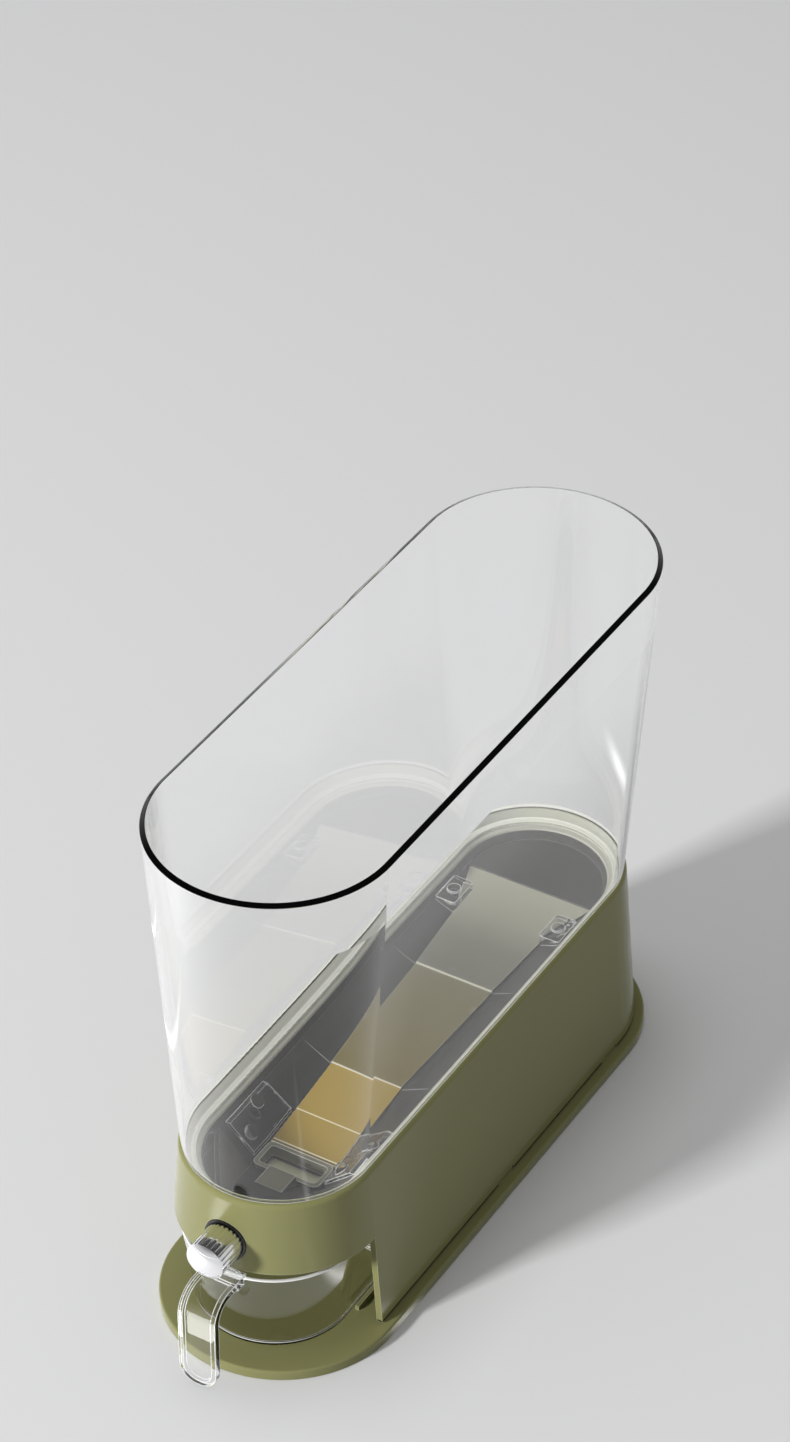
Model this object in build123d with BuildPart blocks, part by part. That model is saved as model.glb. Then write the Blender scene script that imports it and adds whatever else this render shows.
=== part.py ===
"""Rice dispenser with a lift-off clear bin, a press knob and a clear drawer cup.

Millimetres, +Z up, front towards -Y.  Every level of the body is an obround, a
rectangle with half-round ends, about the same two end centres at y = +half_straight
and y = -half_straight.  The origin is the centre of the foot's underside.
"""

from build123d import *
import os
from math import atan, degrees

os.makedirs("parts", exist_ok=True)

# ---------------------------------------------------------------- driving sizes
half_straight = 147.0        # from the middle of the body to each end centre

# foot
foot_radius = 75.0
foot_height = 7.0
foot_top_round = 1.4
foot_bottom_round = 0.6
foot_pocket_depth = 4.2      # weight saving pockets in the underside
foot_rim = 9.5               # solid margin between the pockets and the screws
foot_pocket_length = 48.0
foot_pocket_columns = 2
foot_pocket_rows = 5
foot_rib = 6.0
pad_radius = 7.5
pad_height = 1.5
pad_end_reach = 21.0         # end pads, beyond the end centres
pad_end_inset = 35.0         # pads' centres, inside the foot's side
pad_side_inset = 11.0

# housing
shadow_gap = 1.0             # open joint between the foot and the housing
housing_height = 117.5
foot_lip = 6.1               # foot past the housing's lower edge
housing_lean = 8.7           # lower edge past the upper edge
housing_wall = 3.9
shoulder_round = 3.4
opening_drop = 50.5          # front opening, below the housing's upper edge
ceiling_height = 2.5         # plate over the drawer
bulkhead_thickness = 2.5
pocket_depth = 12.0          # recess that takes the bin's neck
ledge_width = 4.8
ledge_height = 4.0
rail_height = 3.0
rail_thickness = 2.4

# clips and screws that hold the foot to the housing
clip_end_inset = 16.0        # second pair of clips, inside the end centre
clip_length = 18.0
clip_height = 4.0
clip_depth = 4.6
clip_inset = 0.7             # clip's outer face, inside the housing's face
clip_gap = 0.3
foot_screw_gap = 4.0         # between a boss and the housing's wall
foot_screw_ys = (-70.0, 60.0, 150.0)
foot_boss_radius = 4.5
foot_boss_height = 30.0
foot_screw_length = 20.0

# screws, one family for the whole body
screw_radius = 1.5
screw_head_radius = 3.0
screw_head_height = 2.0
screw_slack = 0.15           # between a screw and its hole

# hopper
hopper_wall = 2.2
flange_gap = 0.4             # between the hopper's flange and the recess
flange_height = 2.5
mouth_inset = 5.5            # edge of the rice well, inside the bin's floor opening
mouth_drop = 5.5             # well edge, below the flange's top
mouth_flare = 3.0
step = 0.8                   # each panel starts this far under the one behind
shelf_drop = 1.3             # rear shelf, below the well's edge
slide_rear_inset = 3.7       # from the rear end centre
slide_bend_inset = 42.0
slide_middle_y = 49.0
slide_front_y = -52.0
outlet_inset = 24.0          # from the front end centre
shelf_lip = 1.0              # well's edge beside the rear panel
slide_bend_slope = 13.5      # width of the side slopes at each station
slide_middle_slope = 17.5
slide_front_slope = 21.7
slide_rear_fall = 4.0        # fall of each panel over its length
slide_middle_fall = 2.2
chute_fall = 7.8
panel_thickness = 1.6
front_half = 10.0            # flat half width at the end of the front slope
front_top_inset = 10.5
front_reach = 4.0            # forms run this far past the well's edge before the trim

# outlet, gate and its guide
outlet_length = 22.4
frame_wall = 3.0
frame_proud = 0.9
frame_round = 4.0
fit_gap = 0.2                # between pieces that are laid into each other
gate_thickness = 2.0
gate_side_gap = 0.3
gate_face_gap = 0.2
gate_travel = 14.0
gate_side_overlap = 1.9      # gate past the throat's sides
gate_overlap = 3.0           # closed length kept behind the opening
guide_screw_outset = 6.0     # from the gate's side
guide_screw_margin = 6.5     # on to the guide's side
guide_margin = 1.5           # guide past the gate's edges, over the whole travel
guide_skin = 2.5
guide_neck = 5.2             # from the well's floor down to the guide
guide_screw_inset = 5.0      # from the guide's ends
guide_boss_radius = 3.4
guide_screw_length = 12.0
channel_half_width = 9.0
channel_wall = 1.5
channel_height = 12.0
channel_length = 35.4

# push rod and knob
rod_rise = 7.0               # rod's and knob's axis, above the gate's guide
rod_radius = 2.0
rod_slack = 0.06
rod_flange_radius = 3.2
stop_gap_rod = 0.3           # left at the ends of the rod's travel
lug_half_width = 5.8
lug_length = 5.0
lug_top = 3.2                # above the rod's axis
clip_ring_radius = 3.3
clip_ring_thickness = 1.0
clip_ring_tail = 1.2
knob_radius = 12.4
knob_bore = 10.6
knob_reach = 20.0            # from the housing's front to the end of the sleeve
knob_inset = 5.6             # from the housing's front to the sleeve's inner end
flute_count = 26
flute_radius = 0.8
flute_depth = 0.5
dome_height = 5.0
dome_radius = 20.8
cap_spigot = 3.4
boss_radius = 6.2
boss_length = 14.0
collar_radius = 14.0
knob_slack = 0.3
collar_proud = 0.9
collar_length = 8.0
spring_wire = 0.9
spring_radius = 4.2
spring_turns = 8

# screws and covers of the hopper
cover_inset = 7.0            # screws, inside the well's edge
front_cover_inset = 29.0     # and inside the end centres
rear_cover_inset = 34.0
rear_cover_width = 15.0
rear_cover_length = 24.0
cover_rise = 2.6
cover_sink = 8.0
cover_round = 2.6
front_cover_gap = 1.7        # between a front cover and the outlet
front_cover_length = 42.0
front_cover_skin = 3.0
cover_nub_radius = 4.4
front_nub_insets = ((5.5, 35.0), (13.0, 16.0))
rear_nub_rise = 1.2
hopper_boss_radius = 4.6
hopper_boss_length = 14.5    # from the well's edge down to the housing's brackets
hopper_seat = 3.0            # from the boss's foot up to the screw head
bracket_half_length = 5.5
bracket_height = 7.0
bracket_inset = 5.0
hopper_screw_length = 12.0

# bin
bin_height = 236.0
bin_setback = 1.4            # bin's foot, inside the housing's upper edge
bin_flare = 16.1
bin_wall = 2.4
bin_seat_gap = 0.4
neck_gap = 0.5               # between the bin's neck and the recess
floor_ring = 5.8             # width of the floor left round its opening
bin_floor_height = 2.4
bowl_inset = 3.2
bin_bowl_height = 9.0
bin_corner_round = 1.6
rim_height = 4.0
rim_width = 3.4
rim_round = 1.2
seal_inset = 0.6             # from the edges of the floor ring
seal_outer_inset = 1.8
seal_height = 1.2
seal_gap = 0.1

# drawer cup and handle
cup_gap = 0.3
cup_forward = 8.0            # cup's round end, in front of the body's end centre
cup_side_inset = 12.9        # cup's rim, inside the housing's lower edge
cup_lean = 8.0
cup_top_gap = 6.2            # between the rim and the top of the front opening
cup_reach = 50.0             # outer rear face at the cup's floor, behind the end centre
cup_rear_corner = 14.0
cup_wall = 2.2
cup_floor = 3.2
cup_bottom_round = 3.6
cup_inner_round = 2.6
cup_rim_round = 0.8
stop_gap = 0.4
handle_half_width = 12.7
handle_thickness = 4.6
handle_reach = 30.6          # in front of the cup's rim
handle_low_z = 3.4
handle_bend = 17.0
handle_end_round = 12.0
handle_border = 3.2
handle_recess = 2.4
handle_recess_from = 7.0     # from the cup's rim to the start of the recess
saddle_leg = 1.9
saddle_depth = 7.0
saddle_top = 1.5
saddle_gap = 0.15

# ---------------------------------------------------------------- worked out sizes
housing_low_radius = foot_radius - foot_lip
housing_high_radius = housing_low_radius - housing_lean
pocket_radius = housing_high_radius - housing_wall
ledge_radius = pocket_radius - ledge_width
flange_radius = pocket_radius - flange_gap
neck_radius = pocket_radius - neck_gap
bin_low_radius = housing_high_radius - bin_setback
bin_high_radius = bin_low_radius + bin_flare
bin_floor_radius = neck_radius - floor_ring
bin_floor_corner = neck_radius - bowl_inset
seal_inner_radius = bin_floor_radius + seal_inset
seal_outer_radius = neck_radius - seal_outer_inset
mouth_radius = bin_floor_radius - mouth_inset
housing_low = foot_height + shadow_gap
housing_high = housing_low + housing_height
housing_draft = housing_lean / housing_height
opening_top = housing_high - opening_drop
bay_front_y = -half_straight
foot_screw_x = housing_low_radius - housing_wall - foot_screw_gap - foot_boss_radius
foot_pocket_width = foot_screw_x - foot_rim - foot_rib / 2
clip_ys = (0.0, half_straight - clip_end_inset)
pocket_floor = housing_high - pocket_depth
ledge_low = pocket_floor - ledge_height
flange_top = pocket_floor + flange_height
mouth_z = flange_top - mouth_drop
shelf_z = mouth_z - shelf_drop
well_top = flange_top + 10.0
slide_rear_y = half_straight - slide_rear_inset
slide_bend_y = half_straight - slide_bend_inset
slide_rear_half = mouth_radius - shelf_lip
slide_bend_half = mouth_radius - slide_bend_slope
slide_middle_half = mouth_radius - slide_middle_slope
slide_front_half = mouth_radius - slide_front_slope
hopper_boss_z = mouth_z - hopper_boss_length
outlet_rear_y = outlet_inset - half_straight
front_top_half = mouth_radius - front_top_inset
slide_z0 = shelf_z - step
slide_z1 = slide_z0 - slide_rear_fall
slide_z2 = slide_z1 - step
slide_z3 = slide_z2 - slide_middle_fall
chute_z0 = slide_z3 - step
chute_z1 = chute_z0 - chute_fall
well_floor = chute_z1 - panel_thickness
outlet_front_y = outlet_rear_y - outlet_length
outlet_mid_y = (outlet_rear_y + outlet_front_y) / 2
frame_half = slide_front_half - fit_gap
frame_length = outlet_length - 2 * fit_gap
throat_half = frame_half - frame_wall
throat_length = frame_length - 2 * frame_wall
throat_rear_y = outlet_mid_y + throat_length / 2
throat_front_y = outlet_mid_y - throat_length / 2
gate_half_width = throat_half + gate_side_overlap
guide_screw_x = gate_half_width + guide_screw_outset
guide_half_width = guide_screw_x + guide_screw_margin
guide_top = well_floor - guide_neck
knob_z = guide_top + rod_rise
gate_slot = gate_thickness + 2 * gate_face_gap
guide_low = guide_top - 2 * guide_skin - gate_slot
gate_low = guide_low + guide_skin + gate_face_gap
gate_high = gate_low + gate_thickness
window_length = min(throat_length, gate_travel)
window_rear_y = throat_front_y
window_front_y = window_rear_y - window_length
gate_rear_y = throat_rear_y + gate_overlap
channel_rear_y = outlet_front_y - fit_gap
channel_front_y = channel_rear_y - channel_length
channel_top = guide_top + channel_height
rod_rear_y = channel_rear_y - channel_wall - gate_travel - stop_gap_rod
lug_rear_y = rod_rear_y - clip_ring_thickness - clip_ring_tail
lug_front_y = lug_rear_y - lug_length
guide_rear_y = gate_rear_y + gate_travel + guide_margin
guide_front_y = lug_front_y - guide_margin
knob_face_y = -half_straight - (housing_low_radius - housing_draft * (knob_z - housing_low))
sleeve_end_y = knob_face_y - knob_reach
sleeve_inner_y = knob_face_y + knob_inset
boss_end_y = sleeve_end_y + cap_spigot + boss_length
rod_tip_y = sleeve_end_y + cap_spigot
bin_low = housing_high + bin_seat_gap
bin_top = bin_low + bin_height
bin_draft = bin_flare / bin_height
seal_top = flange_top + seal_height
neck_low = seal_top + seal_gap
bin_floor_top = neck_low + bin_floor_height
cover_xs = (cover_inset - mouth_radius, mouth_radius - cover_inset)
cover_ys = (front_cover_inset - half_straight, half_straight - rear_cover_inset)
front_cover_width = mouth_radius - slide_front_half - front_cover_gap
cup_high_radius = housing_low_radius - cup_side_inset
cup_low_radius = cup_high_radius - cup_lean
cup_centre_y = -half_straight - cup_forward
cup_rear_y = cup_reach - half_straight
cup_low = foot_height + cup_gap
cup_high = opening_top - cup_top_gap
cup_height = cup_high - cup_low
cup_draft = cup_lean / cup_height
cup_front_y = cup_centre_y - cup_high_radius
bulkhead_y = cup_rear_y + cup_lean + stop_gap
handle_front_y = cup_front_y - handle_reach
handle_top_z = cup_high + saddle_top
guide_mid_y = (guide_rear_y + guide_front_y) / 2


# ---------------------------------------------------------------- helpers
def level(z):
    """Horizontal sketching plane at height z."""
    return Plane.XY.offset(z)


def facing_front(y):
    """Upright plane at y: sketch x is X, sketch y is Z, extrusion goes to the front."""
    return Plane((0, y, 0), x_dir=(1, 0, 0), z_dir=(0, -1, 0))


def facing_side(x):
    """Upright plane at x: sketch x is Y, sketch y is Z, extrusion goes to +X."""
    return Plane((x, 0, 0), x_dir=(0, 1, 0), z_dir=(1, 0, 0))


def obround(radius, mode=Mode.ADD):
    """The body's plan at one level."""
    SlotCenterToCenter(2 * half_straight, 2 * radius, rotation=90, mode=mode)


def column(low, low_radius, high, high_radius):
    """Obround solid between two levels, with drafted sides."""
    with BuildPart() as solid:
        with BuildSketch(level(low)):
            obround(low_radius)
        draft = degrees(atan((low_radius - high_radius) / (high - low)))
        extrude(amount=high - low, taper=draft)
    return solid.part


def housing_radius(z):
    """Outer radius of the housing at height z."""
    return housing_low_radius - housing_draft * (z - housing_low)


def bin_radius(z):
    """Outer radius of the bin's wall at height z."""
    return bin_low_radius + bin_draft * (z - bin_low)


def block(x_range, y_range, z_range):
    """Upright box between the given limits."""
    with BuildPart() as solid:
        with BuildSketch(level(z_range[0])):
            with Locations((sum(x_range) / 2, sum(y_range) / 2)):
                Rectangle(x_range[1] - x_range[0], y_range[1] - y_range[0])
        extrude(amount=z_range[1] - z_range[0])
    return solid.part


def panel(rear, front, thickness):
    """Sloping panel between two stations (y, top z, half width)."""
    with BuildPart() as solid:
        for y, top, half in (rear, front):
            with BuildSketch(facing_front(y)):
                with Locations((0, top - thickness / 2)):
                    Rectangle(2 * half, thickness)
        loft(ruled=True)
    return solid.part


def flared(y, floor, half):
    """Station of the rice well whose sides rise to the well's edge and beyond."""
    share = (well_top - floor) / (mouth_z - floor)
    return y, floor, half, half + share * (mouth_radius - half)


def well(stations, skin):
    """Stretch of the rice well through its stations, grown outwards by skin."""
    with BuildPart() as solid:
        for y, floor, half, top_half in stations:
            low = half + skin / 2
            high = top_half + 1.5 * skin
            with BuildSketch(facing_front(y)):
                with BuildLine():
                    Polyline(
                        (-low, floor - skin),
                        (low, floor - skin),
                        (high, well_top),
                        (-high, well_top),
                        close=True,
                    )
                make_face()
        loft(ruled=True)
    return solid.part


def slide_z(y):
    """Top of the rear slide panel at y."""
    share = (slide_rear_y - y) / (slide_rear_y - slide_middle_y)
    return slide_z0 - share * slide_rear_fall


slide_bed = slide_z(slide_bend_y) - panel_thickness
front_end_y = -half_straight - mouth_radius - front_reach
front_slope = (mouth_z - well_floor) / (outlet_front_y + half_straight + mouth_radius)
front_end_z = mouth_z + front_slope * front_reach
slide_rear = flared(slide_rear_y, slide_z0 - panel_thickness, slide_rear_half)
slide_bend = flared(slide_bend_y, slide_bed, slide_bend_half)
slide_middle = flared(slide_middle_y, slide_z1 - panel_thickness, slide_middle_half)
middle_low = flared(slide_middle_y, slide_z2 - panel_thickness, slide_middle_half)
slide_front = flared(slide_front_y, slide_z3 - panel_thickness, slide_front_half)
front_low = flared(slide_front_y, chute_z0 - panel_thickness, slide_front_half)
outlet_rear = flared(outlet_rear_y, well_floor, slide_front_half)
outlet_front = flared(outlet_front_y, well_floor, slide_front_half)
front_end = (front_end_y, front_end_z, front_half, front_top_half)
inner_stretches = (
    (slide_rear, slide_bend, slide_middle),
    (middle_low, slide_front),
    (front_low, outlet_rear, outlet_front, front_end),
)
outer_stretches = ((slide_rear, slide_bend, middle_low, front_low, outlet_rear, outlet_front, front_end),)


def well_form(stretches, skin):
    """The whole rice well, grown outwards by skin, inside its obround mouth."""
    reach = mouth_radius + skin
    rear_end = half_straight + reach + front_reach
    with BuildPart() as solid:
        add(
            block(
                (-reach - front_reach, reach + front_reach),
                (slide_rear_y, rear_end),
                (shelf_z - skin, well_top),
            )
        )
        for stations in stretches:
            add(well(stations, skin))
        add(column(guide_low, reach, flange_top, reach), mode=Mode.INTERSECT)
    return solid.part


def cup_form(grow, low, high):
    """The cup's drafted outline between two levels, grown sideways."""
    base = cup_low_radius + cup_draft * (low - cup_low) + grow
    rear = cup_rear_y + cup_draft * (low - cup_low) + grow
    with BuildPart() as solid:
        with BuildSketch(level(low)) as plan:
            with Locations((0, cup_centre_y)):
                Circle(base)
            with Locations((0, (cup_centre_y + rear) / 2)):
                Rectangle(2 * base, rear - cup_centre_y)
            fillet(plan.vertices().group_by(Axis.Y)[-1], cup_rear_corner + grow)
        extrude(amount=high - low, taper=-degrees(atan(cup_draft)))
    return solid.part


def finish(piece, name):
    """Label a piece and write it out."""
    piece.part.label = name
    export_step(piece.part, f"parts/{name}.step")


# ---------------------------------------------------------------- foot
foot_clip_xs = [side * (housing_low_radius - clip_inset - clip_depth / 2) for side in (-1, 1)]
pad_end_x = foot_radius - pad_end_inset
pad_end_y = half_straight + pad_end_reach
pad_side_x = foot_radius - pad_side_inset
pad_places = [(x, y) for x in (-pad_end_x, pad_end_x) for y in (-pad_end_y, pad_end_y)]
pad_places += [(-pad_side_x, 0.0), (pad_side_x, 0.0)]
foot_screw_places = [(x, y) for x in (-foot_screw_x, foot_screw_x) for y in foot_screw_ys]

with BuildPart() as foot_tray:
    with BuildSketch():
        obround(foot_radius)
    extrude(amount=foot_height)
    fillet(foot_tray.faces().sort_by(Axis.Z)[-1].edges(), foot_top_round)
    fillet(foot_tray.faces().sort_by(Axis.Z)[0].edges(), foot_bottom_round)
    with BuildSketch():
        with GridLocations(
            foot_pocket_width + foot_rib, foot_pocket_length + foot_rib, foot_pocket_columns, foot_pocket_rows
        ):
            Rectangle(foot_pocket_width, foot_pocket_length)
    extrude(amount=foot_pocket_depth, mode=Mode.SUBTRACT)
    with BuildSketch():
        with Locations(*pad_places):
            Circle(pad_radius + fit_gap)
    extrude(amount=pad_height, mode=Mode.SUBTRACT)
    with BuildSketch():
        with Locations(*foot_screw_places):
            Circle(screw_head_radius + screw_slack)
    extrude(amount=screw_head_height, mode=Mode.SUBTRACT)
    with BuildSketch():
        with Locations(*foot_screw_places):
            Circle(screw_radius + screw_slack)
    extrude(amount=foot_height, mode=Mode.SUBTRACT)
    # clips that stand in the notches of the housing's lower edge
    with BuildSketch(level(foot_height)):
        with Locations(*[(x, y) for x in foot_clip_xs for y in clip_ys]):
            Rectangle(clip_depth, clip_length)
    extrude(amount=clip_height)
    # rails that keep the cup in line
    rail_x = cup_low_radius + fit_gap + cup_draft * rail_height + rail_thickness / 2
    with BuildSketch(level(foot_height)):
        with Locations(*[(side * rail_x, (bay_front_y + bulkhead_y) / 2) for side in (-1, 1)]):
            Rectangle(rail_thickness, bulkhead_y - bay_front_y - 2 * rail_thickness)
    extrude(amount=rail_height)
finish(foot_tray, "foot_tray")

with BuildPart() as anti_slip_pads:
    with BuildSketch():
        with Locations(*pad_places):
            Circle(pad_radius)
    extrude(amount=pad_height)
finish(anti_slip_pads, "anti_slip_pads")


# ---------------------------------------------------------------- housing
housing_taper = degrees(atan(housing_draft))
bracket_places = [(x, y) for x in cover_xs for y in cover_ys]

with BuildPart() as housing_shell:
    with BuildSketch(level(housing_low)):
        obround(housing_low_radius)
    extrude(amount=housing_height, taper=housing_taper)
    fillet(housing_shell.faces().sort_by(Axis.Z)[-1].edges(), shoulder_round)
    # inside, from below up to the ledge
    add(
        column(
            housing_low,
            housing_low_radius - housing_wall,
            ledge_low,
            housing_radius(ledge_low) - housing_wall,
        ),
        mode=Mode.SUBTRACT,
    )
    add(column(ledge_low, ledge_radius, pocket_floor, ledge_radius), mode=Mode.SUBTRACT)
    add(column(pocket_floor, pocket_radius, housing_high, pocket_radius), mode=Mode.SUBTRACT)
    # ceiling and bulkhead that close the drawer bay off
    inner_low = housing_radius(opening_top) - housing_wall / 2
    inner_high = housing_radius(opening_top + ceiling_height) - housing_wall / 2
    with BuildSketch(level(opening_top)):
        with Locations((0, (bulkhead_y - half_straight - inner_high) / 2)):
            Rectangle(2 * inner_high, bulkhead_y + half_straight + inner_high)
        with Locations((0, bay_front_y)):
            Circle(inner_high, mode=Mode.PRIVATE)
    ceiling_plate = extrude(amount=ceiling_height, mode=Mode.PRIVATE)
    add(
        ceiling_plate & column(opening_top, inner_low, opening_top + ceiling_height, inner_high)
    )
    bulkhead_half = housing_low_radius - housing_wall / 2
    bulkhead_plate = block(
        (-bulkhead_half, bulkhead_half),
        (bulkhead_y, bulkhead_y + bulkhead_thickness),
        (housing_low, opening_top + ceiling_height),
    )
    add(bulkhead_plate & column(housing_low, bulkhead_half, opening_top + ceiling_height, inner_high))
    # front opening and the hole in the ceiling under the outlet
    add(
        block(
            (-foot_radius, foot_radius),
            (-half_straight - foot_radius, bay_front_y),
            (housing_low, opening_top),
        ),
        mode=Mode.SUBTRACT,
    )
    add(
        block(
            (-throat_half, throat_half),
            (throat_front_y, throat_rear_y),
            (opening_top, opening_top + ceiling_height),
        ),
        mode=Mode.SUBTRACT,
    )
    # screw bosses on webs that stand on the foot
    for x, y in foot_screw_places:
        side = 1 if x > 0 else -1
        web = block(
            sorted((x, side * (housing_radius(housing_low + foot_boss_height) - housing_wall / 2))),
            (y - bulkhead_thickness / 2, y + bulkhead_thickness / 2),
            (foot_height, foot_height + foot_boss_height),
        )
        add(web)
    with BuildSketch(level(foot_height)):
        with Locations(*foot_screw_places):
            Circle(foot_boss_radius)
    extrude(amount=foot_boss_height)
    with BuildSketch(level(foot_height)):
        with Locations(*foot_screw_places):
            Circle(screw_radius + screw_slack)
    extrude(amount=foot_screw_length, mode=Mode.SUBTRACT)
    # brackets that carry the hopper's bosses
    for x, y in bracket_places:
        side = 1 if x > 0 else -1
        bracket = block(
            sorted((x - side * bracket_inset, side * (housing_radius(hopper_boss_z) - housing_wall / 2))),
            (y - bracket_half_length, y + bracket_half_length),
            (hopper_boss_z - bracket_height, hopper_boss_z),
        )
        add(bracket)
    with BuildSketch(level(hopper_boss_z)):
        with Locations(*bracket_places):
            Circle(screw_radius + screw_slack)
    extrude(amount=-bracket_height, mode=Mode.SUBTRACT)
    # notches for the foot's clips
    for x in foot_clip_xs:
        for y in clip_ys:
            side = 1 if x > 0 else -1
            notch = block(
                sorted((x - side * (clip_depth / 2 + clip_gap), side * foot_radius)),
                (y - clip_length / 2 - clip_gap, y + clip_length / 2 + clip_gap),
                (foot_height, foot_height + clip_height + clip_gap),
            )
            add(notch, mode=Mode.SUBTRACT)
    # bore for the knob's collar
    with BuildSketch(facing_front(-half_straight)):
        with Locations((0, knob_z)):
            Circle(collar_radius + fit_gap)
    extrude(amount=foot_radius, mode=Mode.SUBTRACT)
finish(housing_shell, "housing_shell")

with BuildPart() as housing_screws:
    with BuildSketch():
        with Locations(*foot_screw_places):
            Circle(screw_head_radius)
    extrude(amount=screw_head_height)
    with BuildSketch(level(screw_head_height)):
        with Locations(*foot_screw_places):
            Circle(screw_radius)
    extrude(amount=foot_screw_length)
    with BuildSketch():
        with Locations(*foot_screw_places):
            RegularPolygon(screw_radius * 0.8, 6)
    extrude(amount=screw_head_height / 2, mode=Mode.SUBTRACT)
finish(housing_screws, "housing_screws")


# ---------------------------------------------------------------- hopper
well_void = well_form(inner_stretches, 0)
guide_screw_ys = (guide_rear_y - guide_screw_inset, guide_front_y + guide_screw_inset)
guide_screw_places = [(x, y) for x in (-guide_screw_x, guide_screw_x) for y in guide_screw_ys]

with BuildPart() as hopper_tray:
    add(well_form(outer_stretches, hopper_wall))
    with BuildSketch(level(flange_top)):
        obround(flange_radius)
    extrude(amount=-flange_height)
    # bosses down to the housing's brackets and to the gate guide
    with BuildSketch(level(hopper_boss_z)):
        with Locations(*bracket_places):
            Circle(hopper_boss_radius)
    extrude(amount=mouth_z - hopper_boss_z)
    with BuildSketch(level(guide_top)):
        with Locations(*guide_screw_places):
            Circle(guide_boss_radius)
    extrude(amount=mouth_z - guide_top)
    add(well_void, mode=Mode.SUBTRACT)
    add(column(mouth_z, mouth_radius, flange_top, mouth_radius + mouth_flare), mode=Mode.SUBTRACT)
    # outlet, rod channel and screw holes
    outlet_hole = block(
        (-slide_front_half, slide_front_half), (outlet_front_y, outlet_rear_y), (guide_low, mouth_z)
    )
    add(outlet_hole, mode=Mode.SUBTRACT)
    channel_hole = block(
        (-channel_half_width - fit_gap, channel_half_width + fit_gap),
        (channel_front_y, outlet_front_y),
        (guide_low, channel_top + fit_gap),
    )
    add(channel_hole, mode=Mode.SUBTRACT)
    with BuildSketch(level(guide_top)):
        with Locations(*guide_screw_places):
            Circle(screw_radius + screw_slack)
    extrude(amount=guide_screw_length - guide_skin, mode=Mode.SUBTRACT)
    with BuildSketch(level(hopper_boss_z)):
        with Locations(*bracket_places):
            Circle(screw_radius + screw_slack)
    extrude(amount=hopper_seat, mode=Mode.SUBTRACT)
    with BuildSketch(level(hopper_boss_z + hopper_seat)):
        with Locations(*bracket_places):
            Circle(screw_head_radius + screw_slack)
    extrude(amount=mouth_z - hopper_boss_z, mode=Mode.SUBTRACT)
finish(hopper_tray, "hopper_tray")

with BuildPart() as rice_slide:
    rear = (slide_rear_y - fit_gap, slide_z(slide_rear_y - fit_gap), slide_rear_half - fit_gap)
    bend = (slide_bend_y, slide_z(slide_bend_y), slide_bend_half)
    front = (slide_middle_y, slide_z1, slide_middle_half)
    add(panel(rear, bend, panel_thickness))
    add(panel(bend, front, panel_thickness))
    add(
        panel(
            (slide_middle_y, slide_z2, slide_middle_half),
            (slide_front_y, slide_z3, slide_front_half),
            panel_thickness,
        )
    )
finish(rice_slide, "rice_slide")

with BuildPart() as lower_chute:
    chute_rear = (slide_front_y, chute_z0, slide_front_half)
    chute_front = (outlet_rear_y, chute_z1, slide_front_half)
    add(panel(chute_rear, chute_front, panel_thickness))
finish(lower_chute, "lower_chute")

with BuildPart() as outlet_frame:
    with BuildSketch(level(guide_top)):
        with Locations((0, outlet_mid_y)):
            RectangleRounded(2 * frame_half, frame_length, frame_round)
            RectangleRounded(2 * throat_half, throat_length, frame_round - frame_wall / 2, mode=Mode.SUBTRACT)
    extrude(amount=chute_z1 + frame_proud - guide_top)
finish(outlet_frame, "outlet_frame")


# ---------------------------------------------------------------- gate and its guide
with BuildPart() as gate_guide:
    with BuildSketch(level(guide_low)):
        with Locations((0, guide_mid_y)):
            Rectangle(2 * guide_half_width, guide_rear_y - guide_front_y)
    extrude(amount=guide_top - guide_low)
    slot_half = gate_half_width + gate_side_gap
    slot = block(
        (-slot_half, slot_half),
        (guide_front_y, guide_rear_y),
        (gate_low - gate_face_gap, gate_high + gate_face_gap),
    )
    add(slot, mode=Mode.SUBTRACT)
    throat = block((-throat_half, throat_half), (throat_front_y, throat_rear_y), (guide_low, guide_top))
    add(throat, mode=Mode.SUBTRACT)
    lug_way = block(
        (-lug_half_width - gate_side_gap, lug_half_width + gate_side_gap),
        (guide_front_y, lug_rear_y + gate_travel + gate_side_gap),
        (gate_high, guide_top),
    )
    add(lug_way, mode=Mode.SUBTRACT)
    with BuildSketch(level(guide_low)):
        with Locations(*guide_screw_places):
            Circle(screw_radius + screw_slack)
    extrude(amount=guide_top - guide_low, mode=Mode.SUBTRACT)
    with BuildSketch(level(guide_low)):
        with Locations(*guide_screw_places):
            Circle(screw_head_radius + screw_slack)
    extrude(amount=guide_skin + screw_head_height, mode=Mode.SUBTRACT)
finish(gate_guide, "gate_guide")

guide_screw_seat = guide_low + guide_skin + screw_head_height
with BuildPart() as guide_screws:
    with BuildSketch(level(guide_screw_seat)):
        with Locations(*guide_screw_places):
            Circle(screw_head_radius)
    extrude(amount=-screw_head_height)
    with BuildSketch(level(guide_screw_seat)):
        with Locations(*guide_screw_places):
            Circle(screw_radius)
    extrude(amount=guide_screw_length - guide_skin)
finish(guide_screws, "guide_screws")

with BuildPart() as rod_channel:
    add(
        block(
            (-channel_half_width, channel_half_width),
            (channel_front_y, channel_rear_y),
            (guide_top, channel_top),
        )
    )
    inner_half = channel_half_width - channel_wall
    inside = block(
        (-inner_half, inner_half),
        (channel_front_y + channel_wall, channel_rear_y - channel_wall),
        (guide_top, channel_top - channel_wall),
    )
    add(inside, mode=Mode.SUBTRACT)
    with BuildSketch(facing_front(channel_front_y + channel_wall)):
        with Locations((0, knob_z)):
            Circle(rod_radius + rod_slack)
    extrude(amount=channel_wall, mode=Mode.SUBTRACT)
finish(rod_channel, "rod_channel")

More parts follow.
